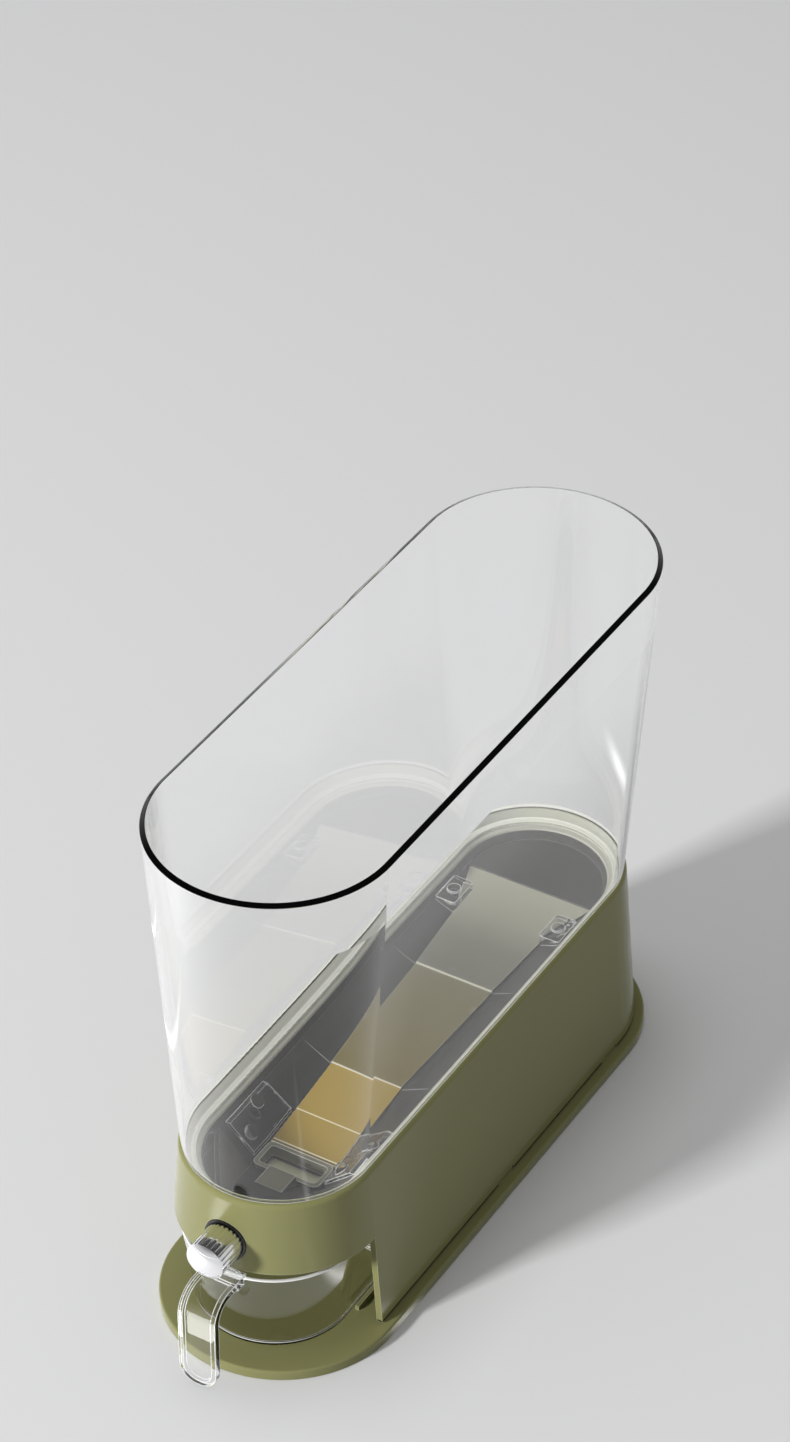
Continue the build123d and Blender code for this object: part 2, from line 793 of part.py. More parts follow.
with BuildPart() as gate_plate:
    add(block((-gate_half_width, gate_half_width), (lug_front_y, gate_rear_y), (gate_low, gate_high)))
    add(
        block((-throat_half, throat_half), (window_front_y, window_rear_y), (gate_low, gate_high)),
        mode=Mode.SUBTRACT,
    )
    add(block((-lug_half_width, lug_half_width), (lug_front_y, lug_rear_y), (gate_low, knob_z + lug_top)))
    with BuildSketch(facing_front(lug_rear_y)):
        with Locations((0, knob_z)):
            Circle(rod_radius + rod_slack)
    extrude(amount=lug_length, mode=Mode.SUBTRACT)
finish(gate_plate, "gate_plate")


# ---------------------------------------------------------------- push rod, knob and spring
with BuildPart() as push_rod:
    with BuildSketch(facing_front(rod_rear_y)):
        with Locations((0, knob_z)):
            Circle(rod_radius)
    extrude(amount=rod_rear_y - rod_tip_y)
    with BuildSketch(facing_front(lug_front_y)):
        with Locations((0, knob_z)):
            Circle(rod_flange_radius)
    extrude(amount=lug_front_y - channel_front_y - channel_wall - stop_gap_rod)
finish(push_rod, "push_rod")

with BuildPart() as rod_clip:
    with BuildSketch(facing_front(lug_rear_y + clip_ring_thickness)):
        with Locations((0, knob_z)):
            Circle(clip_ring_radius)
            Circle(rod_radius + rod_slack, mode=Mode.SUBTRACT)
    extrude(amount=clip_ring_thickness)
finish(rod_clip, "rod_clip")

with BuildPart() as knob_sleeve:
    with BuildSketch(facing_front(sleeve_inner_y)):
        with Locations((0, knob_z)):
            Circle(knob_radius)
            with PolarLocations(knob_radius + flute_radius - flute_depth, flute_count):
                Circle(flute_radius, mode=Mode.SUBTRACT)
            Circle(knob_bore, mode=Mode.SUBTRACT)
    extrude(amount=sleeve_inner_y - sleeve_end_y)
finish(knob_sleeve, "knob_sleeve")

with BuildPart() as knob_cap:
    with BuildSketch(facing_front(sleeve_end_y)):
        with Locations((0, knob_z)):
            Circle(knob_radius)
    extrude(amount=dome_height)
    with Locations((0, sleeve_end_y - dome_height + dome_radius, knob_z)):
        Sphere(dome_radius, mode=Mode.INTERSECT)
    with BuildSketch(facing_front(sleeve_end_y + cap_spigot)):
        with Locations((0, knob_z)):
            Circle(knob_bore - fit_gap)
    extrude(amount=cap_spigot)
    with BuildSketch(facing_front(boss_end_y)):
        with Locations((0, knob_z)):
            Circle(boss_radius)
            Circle(rod_radius + rod_slack, mode=Mode.SUBTRACT)
    extrude(amount=boss_length)
finish(knob_cap, "knob_cap")

with BuildPart() as knob_collar:
    with BuildSketch(facing_front(knob_face_y + collar_length)):
        with Locations((0, knob_z)):
            Circle(collar_radius)
            Circle(knob_radius + knob_slack, mode=Mode.SUBTRACT)
    extrude(amount=collar_length + collar_proud)
    proud_low = housing_low_radius + collar_proud
    proud_high = housing_high_radius + collar_proud
    add(column(housing_low, proud_low, housing_high, proud_high), mode=Mode.INTERSECT)
finish(knob_collar, "knob_collar")

spring_rear_y = channel_front_y - spring_wire / 2 - fit_gap
spring_front_y = boss_end_y + spring_wire / 2 + fit_gap
spring_length = spring_rear_y - spring_front_y
spring_pitch = spring_length / spring_turns

with BuildPart() as return_spring:
    with BuildLine() as coil:
        Helix(
            spring_pitch,
            spring_length,
            spring_radius,
            center=(0, spring_rear_y, knob_z),
            direction=(0, -1, 0),
        )
    with BuildSketch(Plane(coil.line @ 0, z_dir=coil.line % 0)):
        Circle(spring_wire / 2)
    sweep(path=coil.line, is_frenet=True)
finish(return_spring, "return_spring")
print("spring gap between turns", round(spring_pitch - spring_wire, 2))


# ---------------------------------------------------------------- hopper screws and covers
cover_top = mouth_z + cover_rise

with BuildPart() as hopper_screws:
    with BuildSketch(level(hopper_boss_z + hopper_seat)):
        with Locations(*bracket_places):
            Circle(screw_head_radius)
    extrude(amount=screw_head_height)
    with BuildSketch(level(hopper_boss_z + hopper_seat)):
        with Locations(*bracket_places):
            Circle(screw_radius)
    extrude(amount=-hopper_screw_length)
finish(hopper_screws, "hopper_screws")

front_places = [place for place in bracket_places if place[1] < 0]
rear_places = [place for place in bracket_places if place[1] > 0]
nub_places = [
    (side * (mouth_radius - inset), along - half_straight)
    for inset, along in front_nub_insets
    for side in (-1, 1)
]

with BuildPart() as screw_covers:
    # slabs on the side slopes by the outlet
    with BuildSketch(level(well_floor)):
        for x, y in front_places:
            side = 1 if x > 0 else -1
            with Locations((side * (mouth_radius - front_cover_width / 2), y)):
                Rectangle(front_cover_width, front_cover_length)
    extrude(amount=mouth_z - well_floor)
    add(Pos(0, 0, front_cover_skin) * well_void, mode=Mode.SUBTRACT)
    for x, y in nub_places:
        share = (abs(x) - slide_front_half) / (mouth_radius - slide_front_half)
        with Locations((x, y, well_floor + front_cover_skin + share * (mouth_z - well_floor))):
            Sphere(cover_nub_radius)
    # blocks on the rear panel, each with a round nub
    with BuildSketch(level(mouth_z - cover_sink)):
        with Locations(*rear_places):
            RectangleRounded(rear_cover_width, rear_cover_length, cover_round)
    extrude(amount=cover_rise + cover_sink)
    with BuildSketch(level(cover_top)):
        with Locations(*rear_places):
            Circle(cover_nub_radius)
    extrude(amount=rear_nub_rise)
    add(well_void, mode=Mode.INTERSECT)
    for drop in (0, panel_thickness / 2):
        add(Pos(0, 0, -drop) * rice_slide.part, mode=Mode.SUBTRACT)
        add(Pos(0, 0, -drop) * lower_chute.part, mode=Mode.SUBTRACT)
finish(screw_covers, "screw_covers")


# ---------------------------------------------------------------- seal and bin
with BuildPart() as bin_seal:
    with BuildSketch(level(flange_top)):
        obround(seal_outer_radius)
        obround(seal_inner_radius, mode=Mode.SUBTRACT)
    extrude(amount=seal_height)
finish(bin_seal, "bin_seal")

with BuildPart() as clear_bin:
    with BuildSketch(level(bin_low)):
        obround(bin_low_radius)
    extrude(amount=bin_height, taper=-degrees(atan(bin_draft)))
    fillet(clear_bin.faces().sort_by(Axis.Z)[0].edges(), bin_corner_round)
    add(column(neck_low, neck_radius, bin_low + bin_wall, neck_radius))
    # inside: sloping bowl, straight walls, thicker rim
    bowl_top = bin_floor_top + bin_bowl_height
    rim_low = bin_top - rim_height
    add(
        column(bin_floor_top, bin_floor_corner, bowl_top, bin_radius(bowl_top) - bin_wall),
        mode=Mode.SUBTRACT,
    )
    add(
        column(bowl_top, bin_radius(bowl_top) - bin_wall, rim_low, bin_radius(rim_low) - bin_wall),
        mode=Mode.SUBTRACT,
    )
    add(
        column(rim_low, bin_radius(rim_low) - rim_width, bin_top, bin_high_radius - rim_width),
        mode=Mode.SUBTRACT,
    )
    add(column(neck_low, bin_floor_radius, bin_floor_top, bin_floor_radius), mode=Mode.SUBTRACT)
    fillet(clear_bin.faces().sort_by(Axis.Z)[-1].edges(), rim_round)
finish(clear_bin, "clear_bin")


# ---------------------------------------------------------------- drawer cup and handle
with BuildPart() as drawer_cup:
    add(cup_form(0, cup_low, cup_high))
    fillet(drawer_cup.faces().sort_by(Axis.Z)[0].edges(), cup_bottom_round)
    with BuildPart(mode=Mode.PRIVATE) as cup_inside:
        add(cup_form(-cup_wall, cup_low + cup_floor, cup_high))
        fillet(cup_inside.faces().sort_by(Axis.Z)[0].edges(), cup_inner_round)
    add(cup_inside.part, mode=Mode.SUBTRACT)
    fillet(drawer_cup.faces().sort_by(Axis.Z)[-1].edges(), cup_rim_round)
finish(drawer_cup, "drawer_cup")


def handle_form(half, skin, start_y, low_z, corner):
    """L-shaped bar out from the rim, round the bend and down to a rounded end."""
    bend_y = handle_front_y + handle_bend
    bend_z = handle_top_z - handle_bend
    inner = handle_bend - skin
    with BuildPart() as solid:
        with BuildSketch(facing_side(-half)):
            with BuildLine():
                Line((start_y, handle_top_z), (bend_y, handle_top_z))
                CenterArc((bend_y, bend_z), handle_bend, 90, 90)
                Polyline(
                    (handle_front_y, bend_z),
                    (handle_front_y, low_z),
                    (handle_front_y + skin, low_z),
                    (handle_front_y + skin, bend_z),
                )
                CenterArc((bend_y, bend_z), inner, 90, 90)
                Polyline(
                    (bend_y, handle_top_z - skin),
                    (start_y, handle_top_z - skin),
                    (start_y, handle_top_z),
                )
            make_face()
        extrude(amount=2 * half)
        ends = solid.edges().filter_by(Axis.Y).group_by(Axis.Z)[0]
        fillet(ends, corner)
    return solid.part


with BuildPart() as drawer_handle:
    saddle_rear_y = cup_front_y + cup_wall + saddle_leg
    add(handle_form(handle_half_width, handle_thickness, saddle_rear_y, handle_low_z, handle_end_round))
    saddle = block(
        (-handle_half_width, handle_half_width),
        (cup_front_y - handle_thickness, saddle_rear_y),
        (handle_top_z - saddle_depth, handle_top_z),
    )
    add(saddle)
    # recess that leaves a thin web between thick edges
    recess_half = handle_half_width - handle_border
    recess_low = handle_low_z + handle_border
    recess_round = handle_end_round - handle_border
    recess_start = cup_front_y - handle_recess_from
    add(
        handle_form(recess_half, handle_recess, recess_start, recess_low, recess_round),
        mode=Mode.SUBTRACT,
    )
    # slot for the cup's rim
    slot_outer = cup_form(saddle_gap, cup_low, cup_high)
    slot_inner = cup_form(-cup_wall - saddle_gap, cup_low, cup_high)
    add(slot_outer, mode=Mode.SUBTRACT)
    saddle_leg_back = block(
        (-handle_half_width, handle_half_width),
        (cup_front_y, saddle_rear_y),
        (handle_top_z - saddle_depth, cup_high),
    )
    add(saddle_leg_back & slot_inner)
finish(drawer_handle, "drawer_handle")

print("knob face y", round(knob_face_y, 2), "cup rim front", round(cup_front_y, 2))
print("well floor", round(well_floor, 2), "guide", round(guide_low, 2), round(guide_top, 2))
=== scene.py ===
from math import cos, pi, radians, sin, tan

import bmesh
import bpy
from bpy.props import FloatProperty, FloatVectorProperty, IntProperty, PointerProperty
from mathutils import Matrix, Vector


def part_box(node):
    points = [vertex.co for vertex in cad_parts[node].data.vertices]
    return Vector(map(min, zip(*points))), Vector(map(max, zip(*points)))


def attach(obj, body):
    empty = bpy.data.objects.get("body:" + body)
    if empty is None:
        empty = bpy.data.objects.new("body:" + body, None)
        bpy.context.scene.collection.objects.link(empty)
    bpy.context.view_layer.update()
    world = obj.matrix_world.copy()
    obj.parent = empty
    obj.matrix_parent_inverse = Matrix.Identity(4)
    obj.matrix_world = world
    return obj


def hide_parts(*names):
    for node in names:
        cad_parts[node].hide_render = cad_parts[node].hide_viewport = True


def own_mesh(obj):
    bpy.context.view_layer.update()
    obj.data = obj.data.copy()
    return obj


bl_info = {
    "name": "Rice dispenser with drawer",
    "version": (1, 0, 0),
    "blender": (4, 5, 0),
    "location": "3D View > Sidebar > Rice dispenser",
    "description": "Dresses the dispenser's frame with its clear, moulded and chromed surfaces",
    "category": "Object",
}

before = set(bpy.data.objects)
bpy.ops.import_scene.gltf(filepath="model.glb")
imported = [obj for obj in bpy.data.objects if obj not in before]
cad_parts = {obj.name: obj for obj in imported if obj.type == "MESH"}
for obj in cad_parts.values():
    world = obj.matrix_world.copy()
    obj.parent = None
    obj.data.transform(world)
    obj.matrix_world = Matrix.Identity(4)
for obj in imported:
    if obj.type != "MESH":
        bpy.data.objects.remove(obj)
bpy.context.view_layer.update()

MM = 0.001


def span(node):
    """Lowest and highest corners of a frame node, in millimetres."""
    low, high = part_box(node)
    return [v / MM for v in low], [v / MM for v in high]


foot_low, foot_high = span("foot_tray")
half_straight = (foot_high[1] - foot_low[1] - (foot_high[0] - foot_low[0])) / 2
bin_low, bin_high = span("clear_bin")
housing_low, housing_high = span("housing_shell")
cup_low, cup_high = span("drawer_cup")
slide_low, slide_high = span("rice_slide")


# ---------------------------------------------------------------- sizes and colours
class DispenserSizes(bpy.types.PropertyGroup):
    """Sizes of the pieces that the scene makes itself."""

    wall: FloatProperty(
        name="Bin wall", description="Thickness of the bin's wall, mm", default=2.4, min=0.5
    )
    housing_lean: FloatProperty(
        name="Housing lean", description="Lower edge of the housing past its upper edge, mm",
        default=8.7,
    )
    rim_width: FloatProperty(
        name="Rim width", description="Thickness of the bin's rim, mm", default=3.1, min=0.5
    )
    rim_slope: FloatProperty(
        name="Rim slope", description="Fall of the rim's top face to the outside, mm",
        default=2.1, min=0.1,
    )
    rim_taper: FloatProperty(
        name="Rim taper", description="Height over which the wall thickens to the rim, mm",
        default=45.0, min=5.0,
    )
    rim_corner: FloatProperty(
        name="Rim corner", description="Rounding of the rim's edges, mm", default=0.25, min=0.05
    )
    round_steps: IntProperty(
        name="Round steps", description="Segments in each half round of the bin", default=80, min=12
    )


class DispenserColours(bpy.types.PropertyGroup):
    """Colours of the finishes."""

    olive: FloatVectorProperty(
        name="Olive plastic", description="Foot and housing", default=(0.215, 0.213, 0.092),
        subtype="COLOR",
    )
    hopper: FloatVectorProperty(
        name="Hopper grey", description="Shelf and walls of the rice well",
        default=(0.052, 0.051, 0.047), subtype="COLOR",
    )
    # painted highlight: the pale band on the hopper's top, under the bin's foot
    flange: FloatVectorProperty(
        name="Hopper flange", description="Pale top of the hopper, under the bin's foot",
        default=(0.5, 0.5, 0.42), subtype="COLOR",
    )
    slide: FloatVectorProperty(
        name="Slide", description="Top of the upper ramp panel", default=(0.47, 0.465, 0.36),
        subtype="COLOR",
    )
    # darkest, warmest end of the painted shade on the lower ramp panel
    slide_low: FloatVectorProperty(
        name="Slide, low end", description="Foot of the lower ramp panel",
        default=(0.17, 0.13, 0.03), subtype="COLOR",
    )
    chute: FloatVectorProperty(
        name="Chute", description="Amber panel above the outlet", default=(0.35, 0.24, 0.04),
        subtype="COLOR",
    )
    # painted highlight: the bright lines across the amber panel
    chute_lip_highlight: FloatVectorProperty(
        name="Chute lips", description="Bright lines across the amber panel",
        default=(0.75, 0.7, 0.5), subtype="COLOR",
    )
    gate: FloatVectorProperty(
        name="Gate", description="Sliding gate under the outlet", default=(0.46, 0.45, 0.31),
        subtype="COLOR",
    )
    smoky: FloatVectorProperty(
        name="Smoky plastic", description="Outlet frame and rod channel",
        default=(0.19, 0.185, 0.135), subtype="COLOR",
    )
    clear: FloatVectorProperty(
        name="Clear plastic", description="Bin, handle and screw covers",
        default=(0.998, 1.0, 0.999), subtype="COLOR",
    )
    # painted shade: the cup's plastic is tinted darker so that the shaded bay seen through it reads
    # dark
    clear_cup: FloatVectorProperty(
        name="Clear cup", description="The cup's faintly smoky clear plastic",
        default=(0.9, 0.895, 0.87), subtype="COLOR",
    )
    # painted highlight on the edges and lines of the clear parts
    bright_edge: FloatVectorProperty(
        name="Bright edge", description="Edges of the clear parts, where they gather light",
        default=(0.95, 0.96, 0.95), subtype="COLOR",
    )
    # painted highlight: pale finish on the beads of the bin's foot
    bead_highlight: FloatVectorProperty(
        name="Foot beads", description="Rounded beads of the bin's foot",
        default=(0.84, 0.85, 0.76), subtype="COLOR",
    )
    seal: FloatVectorProperty(
        name="Seal", description="Ring under the bin's foot", default=(0.5, 0.5, 0.46),
        subtype="COLOR",
    )
    pads: FloatVectorProperty(
        name="Pads", description="Anti-slip pads", default=(0.02, 0.02, 0.02), subtype="COLOR"
    )
    collar: FloatVectorProperty(
        name="Collar", description="Dark ring round the knob", default=(0.012, 0.012, 0.012),
        subtype="COLOR",
    )
    chrome: FloatVectorProperty(
        name="Chrome", description="Knob", default=(0.86, 0.86, 0.87), subtype="COLOR"
    )
    steel: FloatVectorProperty(
        name="Steel", description="Screws, rod, clip and spring", default=(0.55, 0.55, 0.55),
        subtype="COLOR",
    )
    floor: FloatVectorProperty(
        name="Floor", description="Floor and backdrop", default=(0.68, 0.68, 0.688),
        subtype="COLOR",
    )


def sizes():
    return bpy.context.scene.dispenser_sizes


def colours():
    return bpy.context.scene.dispenser_colours


def shade(colour, share):
    """A colour times a share."""
    return [share * c for c in colour]


def lighter(colour, step, most):
    """A colour with each channel raised by a step, up to a limit."""
    return [min(c + step, most) for c in colour]


# ---------------------------------------------------------------- node tools
def maths(tree, operation, *terms):
    """Output socket of a maths node; each term is a socket or a number."""
    step = tree.nodes.new("ShaderNodeMath")
    step.operation = operation
    for socket, term in zip(step.inputs, terms):
        if isinstance(term, bpy.types.NodeSocket):
            tree.links.new(term, socket)
        else:
            socket.default_value = term
    return step.outputs["Value"]


def coordinate(tree, axis, source="Object"):
    """Socket of one axis of a texture coordinate; the object's own is in metres."""
    place = tree.nodes.new("ShaderNodeTexCoord")
    split = tree.nodes.new("ShaderNodeSeparateXYZ")
    tree.links.new(place.outputs[source], split.inputs["Vector"])
    return split.outputs[axis]


def ranged(tree, value, start, end, low=0.0, high=1.0):
    """Socket that runs from low to high while a value socket runs from start to end."""
    spread = tree.nodes.new("ShaderNodeMapRange")
    spread.inputs["From Min"].default_value = start
    spread.inputs["From Max"].default_value = end
    spread.inputs["To Min"].default_value = low
    spread.inputs["To Max"].default_value = high
    tree.links.new(value, spread.inputs["Value"])
    return spread.outputs["Result"]


def mixed_shader(tree, factor, first, second):
    """Shader socket that goes from the first to the second with a factor socket."""
    join = tree.nodes.new("ShaderNodeMixShader")
    tree.links.new(factor, join.inputs["Fac"])
    tree.links.new(first, join.inputs[1])
    tree.links.new(second, join.inputs[2])
    return join.outputs["Shader"]


def mixed_colour(tree, factor, low, high):
    """Colour socket that goes from low to high, each a socket or a colour, with a factor."""
    mix = tree.nodes.new("ShaderNodeMix")
    mix.data_type = "RGBA"
    tree.links.new(factor, mix.inputs["Factor"])
    for socket, colour in (("A", low), ("B", high)):
        if isinstance(colour, bpy.types.NodeSocket):
            tree.links.new(colour, mix.inputs[socket])
        else:
            mix.inputs[socket].default_value = (*colour, 1)
    return mix.outputs["Result"]


def edge_mask(tree, radius):
    """Socket that is 0 on a face and rises to 1 at sharp edges, within a radius in millimetres."""
    flat, round_off = 0.995, 0.88     # dot product of the two normals, on a face and at an edge
    bevel = tree.nodes.new("ShaderNodeBevel")
    bevel.samples = 6
    bevel.inputs["Radius"].default_value = radius * MM
    face = tree.nodes.new("ShaderNodeNewGeometry")
    along = tree.nodes.new("ShaderNodeVectorMath")
    along.operation = "DOT_PRODUCT"
    tree.links.new(bevel.outputs["Normal"], along.inputs[0])
    tree.links.new(face.outputs["Normal"], along.inputs[1])
    return ranged(tree, along.outputs["Value"], flat, round_off)


def line_mask(tree, lines):
    """Socket that is 1 near the heights in lines (height, half width), in millimetres."""
    total = None
    for height, half in lines:
        near = maths(tree, "COMPARE", coordinate(tree, "Z"), height * MM, half * MM)
        total = near if total is None else maths(tree, "MAXIMUM", total, near)
    return total


def graded(tree, axis, stops):
    """Colour socket that changes along an axis; stops are (millimetres, colour)."""
    low, high = stops[0][0], stops[-1][0]
    ramp = tree.nodes.new("ShaderNodeValToRGB")
    tree.links.new(ranged(tree, coordinate(tree, axis), low * MM, high * MM), ramp.inputs["Fac"])
    marks = ramp.color_ramp.elements
    marks[0].color = (*stops[0][1], 1)
    marks[-1].color = (*stops[-1][1], 1)
    for where, colour in stops[1:-1]:
        mark = marks.new((where - low) / (high - low))
        mark.color = (*colour, 1)
    return ramp.outputs["Color"]


def add_grain(tree, shader, scale, roughness, bump):
    """Roughness that varies between two values, and a faint bump, over one noise."""
    usual_low, usual_high = 0.3, 0.7     # what the noise rarely passes
    relief_depth = 0.2 * MM
    place = tree.nodes.new("ShaderNodeTexCoord")
    noise = tree.nodes.new("ShaderNodeTexNoise")
    noise.inputs["Scale"].default_value = scale
    noise.inputs["Detail"].default_value = 4.0
    tree.links.new(place.outputs["Object"], noise.inputs["Vector"])
    grain = noise.outputs["Fac"]
    uneven = ranged(tree, grain, usual_low, usual_high, *roughness)
    tree.links.new(uneven, shader.inputs["Roughness"])
    if bump:
        relief = tree.nodes.new("ShaderNodeBump")
        relief.inputs["Strength"].default_value = bump
        relief.inputs["Distance"].default_value = relief_depth
        tree.links.new(grain, relief.inputs["Height"])
        tree.links.new(relief.outputs["Normal"], shader.inputs["Normal"])
    return grain


# ---------------------------------------------------------------- kinds of finish
def new_finish(name):
    """Fresh node material, with its tree and its shader."""
    finish = bpy.data.materials.new(name)
    finish.use_nodes = True
    tree = finish.node_tree
    shader = tree.nodes["Principled BSDF"]
    return finish, tree, shader


def moulded(
    name, colour, roughness, bump, scale=60.0, shine=0.5, edge=0.0, edge_radius=0.7, grade=None
):
    """Moulded opaque plastic with uneven gloss, a colour or a grade, and edges lightened as a
    painted highlight.
    """
    finish, tree, shader = new_finish(name)
    grain = add_grain(tree, shader, scale, roughness, bump)
    if grade:
        base = graded(tree, *grade)
    else:
        base = mixed_colour(tree, grain, shade(colour, 0.97), shade(colour, 1.03))
    # painted highlight: the colour raised towards sharp edges
    if edge:
        base = mixed_colour(tree, edge_mask(tree, edge_radius), base, lighter(colour, edge, 0.9))
    tree.links.new(base, shader.inputs["Base Color"])
    shader.inputs["IOR"].default_value = 1.5
    shader.inputs["Specular IOR Level"].default_value = shine
    return finish


def clear(name, colour, roughness=0.0, edge=0.0, edge_radius=0.8, lines=()):
    """Clear plastic that lets the lamps' light through, with a pale finish mixed in at its edges
    and along given lines as a painted highlight.
    """
    finish, tree, shader = new_finish(name)
    shader.inputs["Base Color"].default_value = (*colour, 1)
    shader.inputs["Roughness"].default_value = roughness
    shader.inputs["IOR"].default_value = 1.45
    shader.inputs["Transmission Weight"].default_value = 1.0
    surface = shader.outputs["BSDF"]
    if edge:
        # painted highlight: a pale finish at the edges and lines
        rim = tree.nodes.new("ShaderNodeBsdfPrincipled")
        rim.inputs["Base Color"].default_value = (*colours().bright_edge, 1)
        rim.inputs["Roughness"].default_value = 0.25
        mask = edge_mask(tree, edge_radius)
        if lines:
            mask = maths(tree, "MAXIMUM", mask, line_mask(tree, lines))
        share = maths(tree, "MULTIPLY", mask, edge)
        surface = mixed_shader(tree, share, surface, rim.outputs["BSDF"])
    open_to_light(tree, surface, 1.0)
    return finish


def open_to_light(tree, surface, share):
    """Sends the surface to the output, and lets that share of the lamps' light through it."""
    path = tree.nodes.new("ShaderNodeLightPath")
    open_way = tree.nodes.new("ShaderNodeBsdfTransparent")
    open_way.inputs["Color"].default_value = (share, share, share, 1)
    lit = mixed_shader(tree, path.outputs["Is Shadow Ray"], surface, open_way.outputs["BSDF"])
    tree.links.new(lit, tree.nodes["Material Output"].inputs["Surface"])


def painted_highlight_clear(name, colour, share):
    """Clear plastic at a moulded edge, a share of it a pale finish: a painted highlight for the
    light that such an edge gathers.
    """
    finish, tree, shader = new_finish(name)
    shader.inputs["Base Color"].default_value = (*colour, 1)
    shader.inputs["Roughness"].default_value = 0.2
    shader.inputs["IOR"].default_value = 1.45
    shader.inputs["Transmission Weight"].default_value = 1.0 - share
    open_to_light(tree, shader.outputs["BSDF"], 0.9)
    return finish


def polished_metal(name, colour, roughness):
    """Bare or plated metal with a slightly uneven polish."""
    finish, tree, shader = new_finish(name)
    shader.inputs["Base Color"].default_value = (*colour, 1)
    shader.inputs["Metallic"].default_value = 1.0
    add_grain(tree, shader, 300.0, roughness, 0.0)
    return finish


def finish_of(name, make, *values, **looks):
    """The material of that name, made the first time it is asked for."""
    return bpy.data.materials.get(name) or make(name, *values, **looks)


# ---------------------------------------------------------------- finishes
def olive_finish(name, joint_shade_top=None):
    """Olive plastic, with painted shade below the given height, along the gap where the housing
    meets the foot.
    """
    tone = colours().olive
    grade = None
    # painted shade: the housing's lower edge darkened for the shadow in the gap above the foot
    if joint_shade_top is not None:
        grade = ("Z", ((joint_shade_top, shade(tone, 0.06)), (joint_shade_top + 0.2, tone)))
    return finish_of(
        name, moulded, tone, (0.14, 0.24), 0.03, 45.0, shine=0.16, edge=0.2, edge_radius=0.6,
        grade=grade,
    )


def hopper_finish():
    """Grey plastic: painted shade makes it darker in the well than on the rear shelf, and a painted
    highlight makes it pale on the flange.
    """
    tone, flange = colours().hopper, colours().flange
    # painted shade low in the well; painted highlight on the flange's top
    well_shade = shade(tone, 0.6)
    shelf = slide_high[2]
    low, high = span("hopper_tray")
    grade = ("Z", (
        (low[2], well_shade), (shelf - 4, well_shade), (shelf + 0.4, tone),
        (high[2] - 1.5, tone), (high[2] - 0.8, flange), (high[2], flange),
    ))
    return finish_of(
        "hopper_grey_gloss", moulded, tone, (0.14, 0.24), 0.01, shine=0.25, edge=0.3,
        edge_radius=0.6, grade=grade,
    )


def slide_finish():
    """Ramp panels: pale at the rear, warmer and darker to the front as painted shade on each panel,
    and a painted highlight lip at each step.
    """
    top = colours().slide
    lip_highlight = lighter(top, 0.15, 0.8)
    front, rear = slide_low[1], slide_high[1]
    step = (front + rear) / 2 + 3.4     # where the upper panel ends over the lower one
    # painted shade: each panel is darkest at its front end and lightens towards its rear
    step_shade = [0.40 * top[0], 0.37 * top[1], 0.26 * top[2]]
    grade = ("Y", (
        (front, lip_highlight), (front + 0.5, lip_highlight), (front + 0.8, colours().slide_low),
        (step - 0.5, step_shade), (step, lip_highlight), (step + 0.5, lip_highlight),
        (step + 0.8, shade(top, 0.36)), (step + 34, shade(top, 0.42)),
        (step + 62, shade(top, 0.72)), (rear, shade(top, 0.95)),
    ))
    return finish_of(
        "slide_beige_gloss", moulded, top, (0.16, 0.28), 0.04, edge=0.15, edge_radius=0.5,
        grade=grade,
    )


def chute_finish():
    """Amber panel, with a painted highlight line along its fold and two at its front edge, and
    painted shade between those two.
    """
    tone, lip_highlight = colours().chute, colours().chute_lip_highlight
    groove_shade = shade(tone, 0.5)
    low, high = span("lower_chute")
    # painted highlights at the lips, painted shade between the front two
    from_front = (
        (0, lip_highlight), (0.8, lip_highlight), (1.2, groove_shade), (2.2, groove_shade), (2.6, lip_highlight), (3.2, lip_highlight),
        (3.6, shade(tone, 0.95)), (29, tone), (29.3, lip_highlight), (29.8, lip_highlight), (30.2, tone),
    )
    stops = [(low[1] + at, colour) for at, colour in from_front]
    grade = ("Y", (*stops, (high[1], tone)))
    return finish_of(
        "chute_amber_gloss", moulded, tone, (0.08, 0.16), 0.03, edge=0.2, edge_radius=0.5,
        grade=grade,
    )


def gate_finish():
    return finish_of("gate_plastic_satin", moulded, colours().gate, (0.2, 0.3), 0.05, 80.0)


def dark_finish():
    return finish_of("dark_plastic_gloss", moulded, colours().collar, (0.15, 0.25), 0.02, 80.0)


def rubber_finish():
    return finish_of("pad_rubber_matt", moulded, colours().pads, (0.6, 0.8), 0.2, 200.0)


def seal_finish():
    return finish_of("seal_rubber_pale", moulded, colours().seal, (0.35, 0.5), 0.1, 120.0)


def smoky_finish():
    # painted highlight: strongly lightened edges outline the outlet frame and rod channel
    return finish_of(
        "smoky_edged_gloss", moulded, colours().smoky, (0.06, 0.12), 0.02, 80.0, edge=0.7,
        edge_radius=0.8,
    )


def clear_finish():
    return finish_of("clear_polished", clear, colours().clear)


def edged_clear_finish():
    # painted highlight on the edges of the clear handle and screw covers
    return finish_of("clear_bright_edged", clear, colours().clear, 0.01, edge=0.9, edge_radius=1.1)


def cup_finish():
    """Clear plastic with painted highlight lines at the cup's floor, above it and at its rim, and
    painted highlights on its edges.
    """
    low, high = cup_low[2], cup_high[2]
    lines = ((low + 0.7, 0.35), (low + 4.2, 0.4), (high - 0.4, 0.5))
    # its tint is painted shade for the bay seen through the cup
    return finish_of(
        "clear_cup", clear, colours().clear_cup, 0.01, edge=0.8, edge_radius=0.9, lines=lines
    )


def bead_finish():
    return finish_of("clear_light_gathering", painted_highlight_clear, colours().bead_highlight, 0.5)


def chrome_finish():
    return finish_of("bright_chrome", polished_metal, colours().chrome, (0.02, 0.05))


def steel_finish():
    return finish_of("zinc_steel", polished_metal, colours().steel, (0.2, 0.35))


